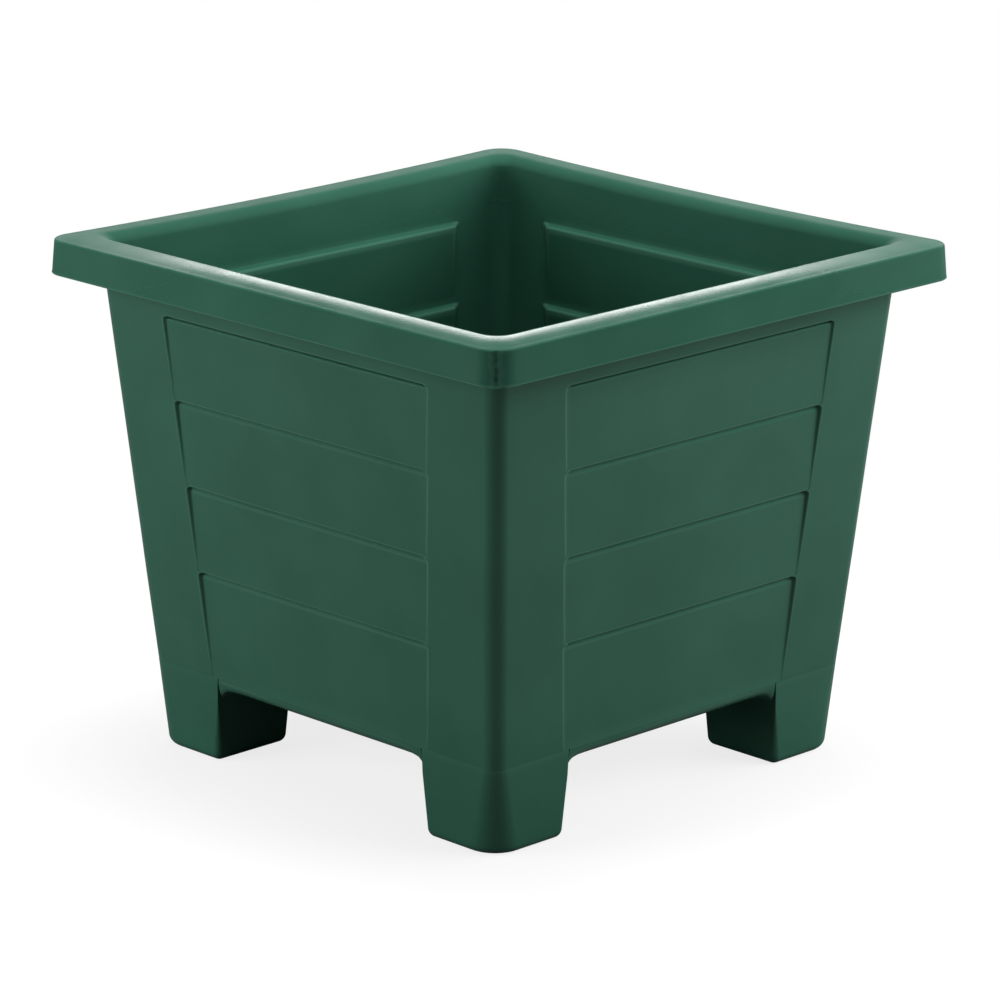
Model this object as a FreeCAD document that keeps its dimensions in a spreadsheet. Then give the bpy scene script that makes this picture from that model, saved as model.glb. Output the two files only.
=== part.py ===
import FreeCAD, Part
import os
import Sketcher

# Square garden planter: a tapered tub with lapped plank sides, corner posts and a turned-down rim,
# four hollow feet that snap into its corners, and four bungs in the drain holes of its floor.
# Millimetres. +Z is up, the origin lies on the ground under the middle, and the front face is -Y.

DIMENSIONS = {
    # Rim: its skirt stands off the posts, is widest at its lower edge, and its top is crowned
    "rim_overhang": 23.5,
    "rim_flare": 1.25,
    "rim_depth": 22.5,
    "rim_crown": 1.8,
    "rim_corner": 16.0,
    "rim_round": 1.2,
    "rim_plate": 3.5,
    "skirt_wall": 3.0,
    "mouth_corner": 12.0,
    "mouth_round": 8.0,
    # Walls: the width is across the corner posts just under the skirt, and each side leans in below it
    "body_width": 333.0,
    "wall_lean": 24.65,
    "wall": 4.0,
    "post_width": 55.0,
    "post_corner": 10.0,
    "inner_corner": 7.0,
    # Planks: heights from the lowest to the highest, and how far each sinks below the post faces.
    # Inside, each shows as a bulge with a deeper ledge on top, which runs on behind the posts.
    "bottom_plank": 64.8,
    "lower_plank": 52.4,
    "upper_plank": 51.9,
    "top_plank": 50.8,
    "band_height": 16.6,
    "plank_step": 2.8,
    "top_plank_step": 1.8,
    "plank_sink": 0.3,
    "panel_draft": 0.4,
    "ledge_depth": 4.5,
    "ledge_rise": 2.0,
    "bulge_reach": 11.0,
    # Floor: it hangs below the seam of the feet, with a rounded lower edge
    "floor_plate": 3.2,
    "floor_drop": 8.2,
    "floor_round": 8.0,
    "well_corner": 5.0,
    # Feet: their height is that of the seam under the posts, and they are a little wider than these
    "foot_height": 53.0,
    "foot_width": 59.3,
    "foot_wall": 3.0,
    "foot_draft": 1.5,
    "foot_edge": 3.5,
    "sole_edge": 5.5,
    "sole_corner": 15.0,
    "sole_round": 5.0,
    "hollow_corner": 3.0,
    "foot_clearance": 0.3,
    "seam_chamfer": 0.4,
    # Spigots: split tubes on the feet that snap through the corner pads
    "spigot_radius": 11.0,
    "spigot_wall": 2.5,
    "spigot_rise": 4.5,
    "spigot_clearance": 0.2,
    "spigot_slot": 2.5,
    "slot_depth": 9.0,
    "lip_width": 1.2,
    "lip_clearance": 0.1,
    "lip_taper": 20.0,
    # Drain holes and their bungs
    "drain_radius": 8.0,
    "drain_inset": 6.5,
    "plug_clearance": 0.05,
    "plug_tail": 5.0,
    "tail_chamfer": 1.5,
    "head_radius": 15.0,
    "head_height": 3.5,
    "head_round": 1.2,
    "grip_length": 20.0,
    "grip_width": 5.0,
    "grip_height": 7.0,
    "grip_round": 1.5,
}

SIDES = 4
QUARTER_TURN = 90.0
# Shapes closer than this count as level with each other
SAME_PLACE = 0.01
# The most of a corner or a wall that a rounding on it may take
ROUNDING_SHARE = 0.9

doc = FreeCAD.newDocument("planter")
sheet = doc.addObject("Spreadsheet::Sheet", "sizes")
for row, (name, number) in enumerate(DIMENSIONS.items(), start=1):
    sheet.set(f"A{row}", name)
    sheet.set(f"B{row}", str(number))
    sheet.setAlias(f"B{row}", name)
doc.recompute()


def size(name):
    return f"sizes.{name}"


def total(*terms):
    return "(" + " + ".join(terms) + ")"


def less(first, *others):
    return "(" + " - ".join((first,) + others) + ")"


def at_most(rounding, *limits):
    shares = [f"{limit} * {ROUNDING_SHARE}" for limit in limits]
    return "min(" + "; ".join([size(rounding)] + shares) + ")"


def number_of(expression):
    return float(sheet.evalExpression(expression))


# Heights above the ground
seam = size("foot_height")
floor_under = less(seam, size("floor_drop"))
floor_top = total(floor_under, size("floor_plate"))
pad_top = total(seam, size("floor_plate"))
plank_names = ["bottom_plank", "lower_plank", "upper_plank", "top_plank"]
plank_levels = [seam]
for name in plank_names:
    plank_levels.append(total(plank_levels[-1], size(name)))
skirt_bottom = total(plank_levels[-1], size("band_height"))
rim_top = total(skirt_bottom, size("rim_depth"))
rim_edge = less(rim_top, size("rim_crown"))
plate_under = less(rim_edge, size("rim_plate"))


def post_face(level):
    return f"(sizes.body_width / 2 - sizes.wall_lean * (1 - {level} / {skirt_bottom}))"


def origin_part(body, role):
    return next(part for part in body.Origin.OriginFeatures if part.Role == role)


def level_sketch(body, name, level):
    sketch = body.newObject("Sketcher::SketchObject", name)
    sketch.AttachmentSupport = [(origin_part(body, "XY_Plane"), "")]
    sketch.MapMode = "FlatFace"
    sketch.setExpression("AttachmentOffset.Base.z", level)
    return sketch


def bind(sketch, label, kind, geometry, expression):
    index = sketch.addConstraint(Sketcher.Constraint(kind, *geometry, number_of(expression)))
    sketch.renameConstraint(index, label)
    sketch.setExpression(f"Constraints.{label}", expression)


def point(x, y):
    return FreeCAD.Vector(x, y, 0)


# A rectangle with rounded corners. The radii go left near, right near, right far, left far.
def rounded_box(sketch, left, right, near, far, radii):
    x_low, x_high = number_of(left), number_of(right)
    y_low, y_high = number_of(near), number_of(far)
    r = [number_of(radius) for radius in radii]
    tangents = [
        (point(x_low + r[0], y_low), point(x_high - r[1], y_low)),
        (point(x_high, y_low + r[1]), point(x_high, y_high - r[2])),
        (point(x_high - r[2], y_high), point(x_low + r[3], y_high)),
        (point(x_low, y_high - r[3]), point(x_low, y_low + r[0])),
    ]
    centres = [
        point(x_high - r[1], y_low + r[1]),
        point(x_high - r[2], y_high - r[2]),
        point(x_low + r[3], y_high - r[3]),
        point(x_low + r[0], y_low + r[0]),
    ]
    lines = [sketch.addGeometry(Part.LineSegment(start, end)) for start, end in tangents]
    arcs = []
    for corner, centre in enumerate(centres):
        circle = Part.Circle(centre, FreeCAD.Vector(0, 0, 1), r[(corner + 1) % SIDES])
        begin = FreeCAD.Units.Quantity(f"{(corner - 1) * QUARTER_TURN} deg").getValueAs("rad")
        finish = FreeCAD.Units.Quantity(f"{corner * QUARTER_TURN} deg").getValueAs("rad")
        arcs.append(sketch.addGeometry(Part.ArcOfCircle(circle, float(begin), float(finish))))
    for corner in range(SIDES):
        sketch.addConstraint(Sketcher.Constraint("Tangent", lines[corner], 2, arcs[corner], 1))
        following = lines[(corner + 1) % SIDES]
        sketch.addConstraint(Sketcher.Constraint("Tangent", arcs[corner], 2, following, 1))
    for corner in (0, 2):
        sketch.addConstraint(Sketcher.Constraint("Horizontal", lines[corner]))
        sketch.addConstraint(Sketcher.Constraint("Vertical", lines[corner + 1]))
    bind(sketch, "near", "DistanceY", (lines[0], 1), near)
    bind(sketch, "right", "DistanceX", (lines[1], 1), right)
    bind(sketch, "far", "DistanceY", (lines[2], 1), far)
    bind(sketch, "left", "DistanceX", (lines[3], 1), left)
    for corner, arc in enumerate(arcs):
        bind(sketch, f"corner_{corner}", "Radius", (arc,), radii[(corner + 1) % SIDES])


def rounded_square(sketch, half, radius):
    rounded_box(sketch, f"-{half}", half, f"-{half}", half, [radius] * SIDES)


# A four-sided outline through given corners, each a pair of expressions
def quadrilateral(sketch, corners):
    places = [point(number_of(x), number_of(y)) for x, y in corners]
    lines = []
    for start, end in zip(places, places[1:] + places[:1]):
        lines.append(sketch.addGeometry(Part.LineSegment(start, end)))
    for line, following in zip(lines, lines[1:] + lines[:1]):
        sketch.addConstraint(Sketcher.Constraint("Coincident", line, 2, following, 1))
    for order, (line, (x, y)) in enumerate(zip(lines, corners)):
        bind(sketch, f"across_{order}", "DistanceX", (line, 1), x)
        bind(sketch, f"along_{order}", "DistanceY", (line, 1), y)


def circle_at(sketch, x, y, radius):
    ring = Part.Circle(point(number_of(x), number_of(y)), FreeCAD.Vector(0, 0, 1), number_of(radius))
    index = sketch.addGeometry(ring)
    bind(sketch, "across", "DistanceX", (index, 3), x)
    bind(sketch, "along", "DistanceY", (index, 3), y)
    bind(sketch, "radius", "Radius", (index,), radius)


def new_body(label):
    body = doc.addObject("PartDesign::Body", label)
    body.Label = label
    return body


def loft(body, name, kind, sketches):
    feature = body.newObject(f"PartDesign::{kind}Loft", name)
    feature.Profile = sketches[0]
    feature.Sections = sketches[1:]
    feature.Ruled = True
    doc.recompute()
    return feature


def square_loft(body, name, kind, sections):
    sketches = []
    for order, (level, half, radius) in enumerate(sections):
        sketch = level_sketch(body, f"{name}_section_{order}", level)
        rounded_square(sketch, half, radius)
        sketches.append(sketch)
    return loft(body, name, kind, sketches)


def pad(body, name, sketch, length, taper=None):
    feature = body.newObject("PartDesign::Pad", name)
    feature.Profile = sketch
    feature.setExpression("Length", length)
    if taper:
        feature.setExpression("TaperAngle", taper)
    doc.recompute()
    return feature


# A pocket cut down from its sketch, the way of the sketch's back
def pocket(body, name, sketch, depth):
    feature = body.newObject("PartDesign::Pocket", name)
    feature.Profile = sketch
    feature.setExpression("Length", depth)
    doc.recompute()
    return feature


def round_the_sides(body, name, features):
    pattern = body.newObject("PartDesign::PolarPattern", name)
    pattern.Originals = features
    pattern.Axis = (origin_part(body, "Z_Axis"), [""])
    pattern.Angle = SIDES * QUARTER_TURN
    pattern.Occurrences = SIDES
    body.Tip = pattern
    doc.recompute()
    return pattern


def faces_level_with(feature, height):
    found = []
    for order, face in enumerate(feature.Shape.Faces, start=1):
        box = face.BoundBox
        if abs(box.ZMin - height) < SAME_PLACE and abs(box.ZMax - height) < SAME_PLACE:
            found.append(f"Face{order}")
    return found


def edges_level_with(feature, height):
    found = []
    for order, edge in enumerate(feature.Shape.Edges, start=1):
        box = edge.BoundBox
        if abs(box.ZMin - height) < SAME_PLACE and abs(box.ZMax - height) < SAME_PLACE:
            found.append(f"Edge{order}")
    return found


def dress(body, name, kind, base, elements, sizing, expression):
    feature = body.newObject(f"PartDesign::{kind}", name)
    feature.Base = (base, elements)
    feature.setExpression(sizing, expression)
    doc.recompute()
    return feature


# Tub: the rim first as a crowned cap with an open underside, then the walls up into it
tub = new_body("tub")
rim_half = "(sizes.body_width / 2 + sizes.rim_overhang)"
rim_edge_half = less(rim_half, size("rim_flare"))
mouth_half = less(post_face(rim_top), size("wall"))
# Half-way out the crown has dropped by a quarter, as a parabola does
crown_half = f"(({rim_edge_half} + {mouth_half}) / 2)"
crown_level = less(rim_top, "sizes.rim_crown / 4")
crown_corner = "((sizes.rim_corner + sizes.mouth_corner) / 2)"
square_loft(tub, "rim_skirt", "Additive", [
    (skirt_bottom, rim_half, size("rim_corner")),
    (rim_edge, rim_edge_half, size("rim_corner")),
])
crown = square_loft(tub, "rim_crown", "Additive", [
    (rim_edge, rim_edge_half, size("rim_corner")),
    (crown_level, crown_half, crown_corner),
    (rim_top, mouth_half, size("mouth_corner")),
])
outer_edge = edges_level_with(crown, number_of(rim_edge))
rim_rounding = at_most("rim_round", size("rim_plate"), size("skirt_wall"))
dress(tub, "rim_edge", "Fillet", crown, outer_edge, "Radius", rim_rounding)
cavity_corner = less(size("rim_corner"), size("skirt_wall"))
square_loft(tub, "rim_cavity", "Subtractive", [
    (skirt_bottom, less(rim_half, size("skirt_wall")), cavity_corner),
    (plate_under, less(rim_edge_half, size("skirt_wall")), cavity_corner),
])
walls = square_loft(tub, "walls", "Additive", [
    (floor_under, post_face(floor_under), size("post_corner")),
    (rim_edge, post_face(rim_edge), size("post_corner")),
])
underside = faces_level_with(walls, number_of(floor_under))
floor_rounding = at_most("floor_round", size("post_corner"), size("floor_drop"))
dress(tub, "floor_edge", "Fillet", walls, underside, "Radius", floor_rounding)

# The inside goes down to the corner pads, and two crossing wells go on down to the floor
inside = square_loft(tub, "inside", "Subtractive", [
    (pad_top, less(post_face(pad_top), size("wall")), size("inner_corner")),
    (rim_top, mouth_half, size("mouth_corner")),
])
mouth_edge = edges_level_with(inside, number_of(rim_top))
mouth_rounding = at_most("mouth_round", total(size("wall"), size("rim_plate"), size("rim_crown")))
dress(tub, "mouth_edge", "Fillet", inside, mouth_edge, "Radius", mouth_rounding)
foot_inner = less(post_face(seam), size("foot_width"))
notch_inner = less(foot_inner, size("foot_clearance"))
pad_inner = less(notch_inner, size("floor_plate"))
well_sections = []
for order, level in enumerate([floor_top, pad_top]):
    sketch = level_sketch(tub, f"floor_well_section_{order}", level)
    reach = less(post_face(level), size("wall"))
    rounded_box(sketch, f"-{reach}", reach, f"-{pad_inner}", pad_inner, [size("well_corner")] * SIDES)
    well_sections.append(sketch)
floor_well = loft(tub, "floor_well", "Subtractive", well_sections)
round_the_sides(tub, "floor_wells", [floor_well])

# Corner notches that the feet stand up into, with the socket hole through each pad
notch_sketch = level_sketch(tub, "foot_notch_outline", seam)
notch_outer = f"-({post_face(seam)} + sizes.foot_width)"
rounded_box(notch_sketch, notch_outer, f"-{notch_inner}", notch_outer, f"-{notch_inner}",
            [size("foot_edge")] * SIDES)
foot_notch = pocket(tub, "foot_notch", notch_sketch, seam)
round_the_sides(tub, "foot_notches", [foot_notch])
foot_middle = f"-({post_face(seam)} - sizes.foot_width / 2)"
socket_sketch = level_sketch(tub, "socket_outline", pad_top)
circle_at(socket_sketch, foot_middle, foot_middle, total(size("spigot_radius"), size("spigot_clearance")))
socket = pocket(tub, "socket", socket_sketch, total(size("floor_plate"), size("floor_drop")))
round_the_sides(tub, "sockets", [socket])
drain_middle = f"-({pad_inner} - sizes.head_radius - sizes.drain_inset)"
drain_sketch = level_sketch(tub, "drain_outline", floor_top)
circle_at(drain_sketch, drain_middle, drain_middle, size("drain_radius"))
drain = pocket(tub, "drain", drain_sketch, total(size("floor_plate"), size("floor_drop")))
round_the_sides(tub, "drains", [drain])


# Plank panel of the front wall, one plank after another, upright between slanting ends
def plank_section(name, level, outer_depth, inner_depth, lengthening):
    face = post_face(level)
    ends = total(less(face, size("post_width")), lengthening)
    outer = total(ends, f"-({outer_depth}) * sizes.panel_draft")
    inner = total(ends, f"-({inner_depth}) * sizes.panel_draft")
    front = f"-({face} - ({outer_depth}))"
    back = f"-({face} - ({inner_depth}))"
    sketch = level_sketch(tub, name, level)
    quadrilateral(sketch, [(f"-{outer}", front), (outer, front), (inner, back), (f"-{inner}", back)])
    return sketch


bulges = []
recesses = []
for order, name in enumerate(plank_names):
    step = size("top_plank_step" if name == "top_plank" else "plank_step")
    ends = [
        (plank_levels[order], size("plank_sink"), size("plank_sink")),
        (plank_levels[order + 1], step, size("ledge_depth")),
    ]
    bulge_sections = []
    recess_sections = []
    for end, (level, sunk, swollen) in enumerate(ends):
        bulge_sections.append(plank_section(
            f"{name}_bulge_{end}", total(level, size("ledge_rise")),
            "sizes.wall / 2", f"{swollen} + sizes.wall", size("bulge_reach")))
        recess_sections.append(plank_section(
            f"{name}_recess_{end}", level, "-sizes.rim_overhang", sunk, "0"))
    bulges.append((f"{name}_bulge", bulge_sections))
    recesses.append((f"{name}_recess", recess_sections))
bulge_features = [loft(tub, name, "Additive", sketches) for name, sketches in bulges]
round_the_sides(tub, "plank_bulges", bulge_features)
recess_features = [loft(tub, name, "Subtractive", sketches) for name, sketches in recesses]
round_the_sides(tub, "plank_recesses", recess_features)


def foot_inner_at(level):
    return f"({foot_inner} + sizes.foot_draft * (1 - {level} / {seam}))"


# Foot: a tapered cup, closed at the sole, with a split spigot standing in it
def make_foot(label, turn):
    foot = new_body(label)
    # The topmost section is drawn in a little, so that the seam shows as a fine line
    outer_sections = [
        (seam, size("seam_chamfer"), size("post_corner"), size("foot_edge")),
        (less(seam, size("seam_chamfer")), "0", size("post_corner"), size("foot_edge")),
        ("0", "0", size("sole_corner"), size("sole_edge")),
    ]
    sketches = []
    for order, (level, inset, corner, edge) in enumerate(outer_sections):
        sketch = level_sketch(foot, f"{label}_outline_{order}", level)
        outer = f"-({post_face(level)} - {inset})"
        inner = f"-({foot_inner_at(level)} + {inset})"
        radii = [less(radius, inset) for radius in (corner, edge, edge, edge)]
        rounded_box(sketch, outer, inner, outer, inner, radii)
        sketches.append(sketch)
    block = loft(foot, f"{label}_block", "Additive", sketches)
    sole = faces_level_with(block, 0)
    sole_rounding = at_most("sole_round", size("sole_corner"), size("sole_edge"), "2 * sizes.foot_wall")
    dress(foot, f"{label}_sole", "Fillet", block, sole, "Radius", sole_rounding)
    # The hollow's outer corner follows the foot's own, so that the wall keeps its thickness there
    hollow_sections = [(seam, size("post_corner")), (size("foot_wall"), size("sole_corner"))]
    sketches = []
    for order, (level, corner) in enumerate(hollow_sections):
        sketch = level_sketch(foot, f"{label}_hollow_{order}", level)
        outer = f"-({post_face(level)} - sizes.foot_wall)"
        inner = f"-({foot_inner_at(level)} + sizes.foot_wall)"
        radii = [less(corner, size("foot_wall"))] + [size("hollow_corner")] * (SIDES - 1)
        rounded_box(sketch, outer, inner, outer, inner, radii)
        sketches.append(sketch)
    loft(foot, f"{label}_hollow", "Subtractive", sketches)

    spigot_top = total(pad_top, size("spigot_rise"))
    sketch = level_sketch(foot, f"{label}_spigot_outline", size("foot_wall"))
    circle_at(sketch, foot_middle, foot_middle, size("spigot_radius"))
    pad(foot, f"{label}_spigot", sketch, less(spigot_top, size("foot_wall")))
    lip_level = total(pad_top, size("lip_clearance"))
    sketch = level_sketch(foot, f"{label}_lip_outline", lip_level)
    circle_at(sketch, foot_middle, foot_middle, total(size("spigot_radius"), size("lip_width")))
    pad(foot, f"{label}_lip", sketch, less(spigot_top, lip_level), f"-{size('lip_taper')}")
    sketch = level_sketch(foot, f"{label}_bore_outline", spigot_top)
    circle_at(sketch, foot_middle, foot_middle, less(size("spigot_radius"), size("spigot_wall")))
    pocket(foot, f"{label}_bore", sketch, less(spigot_top, size("foot_wall")))
    slot_reach = total(size("spigot_radius"), size("lip_width"), size("lip_width"))
    for order, (across, along) in enumerate([(slot_reach, "sizes.spigot_slot / 2"),
                                             ("sizes.spigot_slot / 2", slot_reach)]):
        sketch = level_sketch(foot, f"{label}_slot_outline_{order}", spigot_top)
        low_x, high_x = f"({foot_middle} - {across})", f"({foot_middle} + {across})"
        low_y, high_y = f"({foot_middle} - {along})", f"({foot_middle} + {along})"
        quadrilateral(sketch, [(low_x, low_y), (high_x, low_y), (high_x, high_y), (low_x, high_y)])
        pocket(foot, f"{label}_slot_{order}", sketch, size("slot_depth"))
    foot.Placement.Rotation = FreeCAD.Rotation(FreeCAD.Vector(0, 0, 1), turn)
    return foot


# Bung: a stepped plug whose head lies on the floor, with a bar to pull it by
def make_plug(label, turn):
    plug = new_body(label)
    stem_length = total(size("floor_plate"), size("plug_tail"))
    sketch = level_sketch(plug, f"{label}_stem_outline", less(floor_top, stem_length))
    circle_at(sketch, drain_middle, drain_middle, less(size("drain_radius"), size("plug_clearance")))
    stem = pad(plug, f"{label}_stem", sketch, stem_length)
    tail = faces_level_with(stem, number_of(less(floor_top, stem_length)))
    dress(plug, f"{label}_tail", "Chamfer", stem, tail, "Size", size("tail_chamfer"))
    sketch = level_sketch(plug, f"{label}_head_outline", floor_top)
    circle_at(sketch, drain_middle, drain_middle, size("head_radius"))
    head = pad(plug, f"{label}_head", sketch, size("head_height"))
    head_top = total(floor_top, size("head_height"))
    crown = faces_level_with(head, number_of(head_top))
    head_rounding = at_most("head_round", size("head_height"))
    dress(plug, f"{label}_head_edge", "Fillet", head, crown, "Radius", head_rounding)
    sketch = level_sketch(plug, f"{label}_grip_outline", head_top)
    grip_rounding = at_most("grip_round", "sizes.grip_width / 2")
    long_half = "sizes.grip_length / 2"
    thin_half = "sizes.grip_width / 2"
    rounded_box(sketch, f"({drain_middle} - {long_half})", f"({drain_middle} + {long_half})",
                f"({drain_middle} - {thin_half})", f"({drain_middle} + {thin_half})",
                [grip_rounding] * SIDES)
    grip = pad(plug, f"{label}_grip", sketch, size("grip_height"))
    bar_top = faces_level_with(grip, number_of(total(head_top, size("grip_height"))))
    dress(plug, f"{label}_grip_edge", "Fillet", grip, bar_top, "Radius", f"{grip_rounding} / 2")
    plug.Placement.Rotation = FreeCAD.Rotation(FreeCAD.Vector(0, 0, 1), turn)
    return plug


pieces = [tub]
for order, corner in enumerate(["front_left", "front_right", "rear_right", "rear_left"]):
    turn = order * QUARTER_TURN
    pieces.append(make_foot(f"foot_{corner}", turn))
    pieces.append(make_plug(f"drain_plug_{corner}", turn))
doc.recompute()

for item in doc.Objects:
    if "Invalid" in item.State or "Error" in item.State:
        raise RuntimeError(f"{item.Label} could not be built: {item.State}")
for piece in pieces:
    if piece.Shape.isNull() or not piece.Shape.isValid() or len(piece.Shape.Solids) != 1:
        raise RuntimeError(f"{piece.Label} is not one sound solid")
os.makedirs("parts", exist_ok=True)
for piece in pieces:
    piece.Shape.exportStep(f"parts/{piece.Label}.step")
    box = piece.Shape.BoundBox
    print(piece.Label, round(piece.Shape.Volume), [round(v, 2) for v in (
        box.XMin, box.XMax, box.YMin, box.YMax, box.ZMin, box.ZMax)])
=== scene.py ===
import math

import bmesh
import bpy
from mathutils import Matrix, Vector, noise


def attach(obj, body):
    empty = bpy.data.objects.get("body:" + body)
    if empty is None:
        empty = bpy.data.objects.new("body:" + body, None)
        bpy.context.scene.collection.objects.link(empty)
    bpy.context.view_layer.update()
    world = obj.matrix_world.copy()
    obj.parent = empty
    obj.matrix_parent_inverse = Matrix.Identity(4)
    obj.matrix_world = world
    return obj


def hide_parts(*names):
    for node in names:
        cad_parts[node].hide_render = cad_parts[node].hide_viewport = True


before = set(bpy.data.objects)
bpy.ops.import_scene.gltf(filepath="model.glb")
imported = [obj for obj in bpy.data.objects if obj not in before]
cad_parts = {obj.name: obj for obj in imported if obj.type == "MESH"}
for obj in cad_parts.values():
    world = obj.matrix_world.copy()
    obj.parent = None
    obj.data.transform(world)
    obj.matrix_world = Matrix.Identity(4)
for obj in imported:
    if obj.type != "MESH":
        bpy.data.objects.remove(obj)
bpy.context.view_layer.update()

# Tub: the outside of the walls. One moulding in dark green satin polypropylene. Each wall leans
# outwards and carries four lapped planks between plain corner posts. A plank is almost flush at its
# foot and sinks towards its head, where a fine groove runs under the edge of the next one.
MM = 0.001
SIDES = 4
CORNERS = ((-1, -1), (1, -1), (1, 1), (-1, 1))
SEAM = 53.0
SKIRT_BOTTOM = 289.5
BODY_HALF = 166.5
WALL_LEAN = 24.65
POST_WIDTH = 55.0
POST_CORNER = 10.0
PLANK_LEVELS = [53.0, 117.8, 170.2, 222.1, 272.9]
PLANK_STEPS = [2.3, 2.3, 2.3, 1.7]
PLANK_SINK = 0.3
PLANK_CORNER = 3.0
PANEL_DRAFT = 0.2
EDGE_SOFTNESS = 0.8
FOOT_WIDTH = 59.3
FOOT_CLEARANCE = 0.05


def post_face(level):
    return BODY_HALF - WALL_LEAN * (1 - level / SKIRT_BOTTOM)


NOTCH = post_face(SEAM) - FOOT_WIDTH - FOOT_CLEARANCE

# Columns of points along one side: half a corner, a post, the end of the panel, and the panel
ARC_STEPS = 10
POST_SHARES = [0.0, 0.12, 0.3, 0.5, 0.7, 0.86, 0.96]
END_SHARES = [0.0, 0.12, 0.25, 0.4, 0.6, 0.75, 0.88, 1.0]
OUTERMOST_SHARE = 0.978
WELL_SHARE = 0.955
MIDDLE_SHARES = [0.83, 0.75, 0.64, 0.53, 0.41, 0.28, 0.14]
COLLAR_PLACES = [0.0, 0.5, 1.2, 2.2, 3.5, 5.0, 6.5]
collar_shares = [WELL_SHARE * (1 - place / NOTCH) for place in COLLAR_PLACES]
half_panel = [OUTERMOST_SHARE] + collar_shares + MIDDLE_SHARES
panel_shares = [-share for share in half_panel] + [0.0] + half_panel[::-1]
side_columns = [("arc", -1, step / ARC_STEPS) for step in range(ARC_STEPS)]
side_columns += [("post", -1, share) for share in POST_SHARES]
side_columns += [("end", -1, share) for share in END_SHARES]
side_columns += [("panel", 1, share) for share in panel_shares]
side_columns += [("end", 1, share) for share in reversed(END_SHARES)]
side_columns += [("post", 1, share) for share in reversed(POST_SHARES)]
side_columns += [("arc", 1, step / ARC_STEPS) for step in reversed(range(1, ARC_STEPS))]
AROUND = len(side_columns)
first_well = side_columns.index(("panel", 1, -collar_shares[0]))
last_well = side_columns.index(("panel", 1, collar_shares[0]))


def eased(share):
    share = min(1.0, max(0.0, share))
    return share * share * (3 - 2 * share)


def turned(side, along, out, level):
    quarter = side * math.pi / 2
    x = along * math.cos(quarter) + out * math.sin(quarter)
    y = along * math.sin(quarter) - out * math.cos(quarter)
    return Vector((x, y, level))


# Walls of a large moulding are never quite flat: they sink and swell by a fraction of a millimetre
UNEVENNESS = 0.2
BROAD_PITCH = 0.013
FINE_PITCH = 0.034
FINE_START = Vector((7.0, 3.0, 1.0))
FINE_SHARE = 0.45


def uneven(place):
    broad = noise.noise(place * BROAD_PITCH)
    fine = noise.noise(place * FINE_PITCH + FINE_START)
    return UNEVENNESS * (broad + FINE_SHARE * fine)


# Two sides of the rim sag in the middle, and the wall above the top plank goes down with them
RIM_SAG = 2.4
SAG_LEVEL = 297.5
SAGGING_SIDES = (1, 2)


def sag(side, along, half, height):
    if side not in SAGGING_SIDES:
        return 0.0
    share = (height - PLANK_LEVELS[-1]) / (SAG_LEVEL - PLANK_LEVELS[-1])
    return RIM_SAG * eased(share) * max(0.0, 1 - (along / half) ** 2)


# The mould parts at two corners. A nick wanders down the skirt of the rim there, and rough flash hangs
# from its hem. This gives how far both push the surface out, and how far the flash hangs down.
PARTED_CORNERS = (0, 2)
NICK_STEPS = 2.1
NICK_DRIFT = 1.6
DRIFT_PITCH = 0.22
NICK_BITE = 0.45
BITE_CHANGE = 0.5
BITE_PITCH = 0.27
FLASH_MEAN = 0.5
FLASH_PITCH = 0.45
FLASH_OUT = 0.8
FLASH_DOWN = 0.5


def parting(corner, sign, share, along, out, level, nick, flash):
    drift = NICK_DRIFT * noise.noise(Vector((3, corner, level * DRIFT_PITCH)))
    from_line = abs(sign * share * ARC_STEPS + drift)
    bite = NICK_BITE + BITE_CHANGE * noise.noise(Vector((0, corner, level * BITE_PITCH)))
    rough = FLASH_MEAN + noise.noise(Vector((along * FLASH_PITCH, out * FLASH_PITCH, corner)))
    ragged = flash * max(0.0, rough) * (1 - share)
    notched = nick * max(0.0, bite) * max(0.0, 1 - from_line / NICK_STEPS)
    return FLASH_OUT * ragged - notched, FLASH_DOWN * ragged


# One ring of points round the tub. The posts stand half a width out, and the panels lie depth behind
# them at a level of their own. The well draws the panel's points in to where the corner pads begin.
def ring(level, half, corner, edge, softness, depth=0.0, panel_level=None, well=None, pull=1.0,
         waviness=0.0, nick=0.0, flash=0.0):
    if panel_level is None:
        panel_level = level
    panel_half = edge - softness - PANEL_DRAFT * depth
    well_place = panel_half * WELL_SHARE
    if well is not None:
        well_place += (well - well_place) * pull
    lean = WALL_LEAN / SKIRT_BOTTOM
    points = []
    for side in range(SIDES):
        for kind, sign, share in side_columns:
            height = level
            if kind == "arc":
                turn = (1 - share) * math.pi / 4
                along = sign * (half - corner + corner * math.sin(turn))
                out = half - corner + corner * math.cos(turn)
                near_corner = side if sign < 0 else (side + 1) % SIDES
                if near_corner in PARTED_CORNERS:
                    push, drop = parting(near_corner, sign, share, along, out, level, nick, flash)
                    along += sign * push * math.sin(turn)
                    out += push * math.cos(turn)
                    height -= drop
            else:
                if kind == "post":
                    along = sign * (half - corner + (edge + softness - half + corner) * share)
                    sunk = 0.0
                elif kind == "end":
                    along = sign * (edge + softness - share * (edge + softness - panel_half))
                    sunk = eased(share)
                elif abs(share) <= WELL_SHARE:
                    along = well_place * share / WELL_SHARE
                    sunk = 1.0
                else:
                    past = (abs(share) - WELL_SHARE) / (1 - WELL_SHARE)
                    along = math.copysign(well_place + (panel_half - well_place) * past, share)
                    sunk = 1.0
                height = level + (panel_level - level) * sunk
                out = half + lean * (height - level) - depth * sunk
            place = turned(side, along, out, height)
            if waviness:
                place += turned(side, 0.0, waviness * uneven(place), 0.0)
            place.z -= sag(side, along, half, height)
            points.append(place)
    return points


# Above the top plank the ends of the panel fade out
FADE_LEVEL = PLANK_LEVELS[-1] + 2.0
FADE_RATE = 0.2


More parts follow.
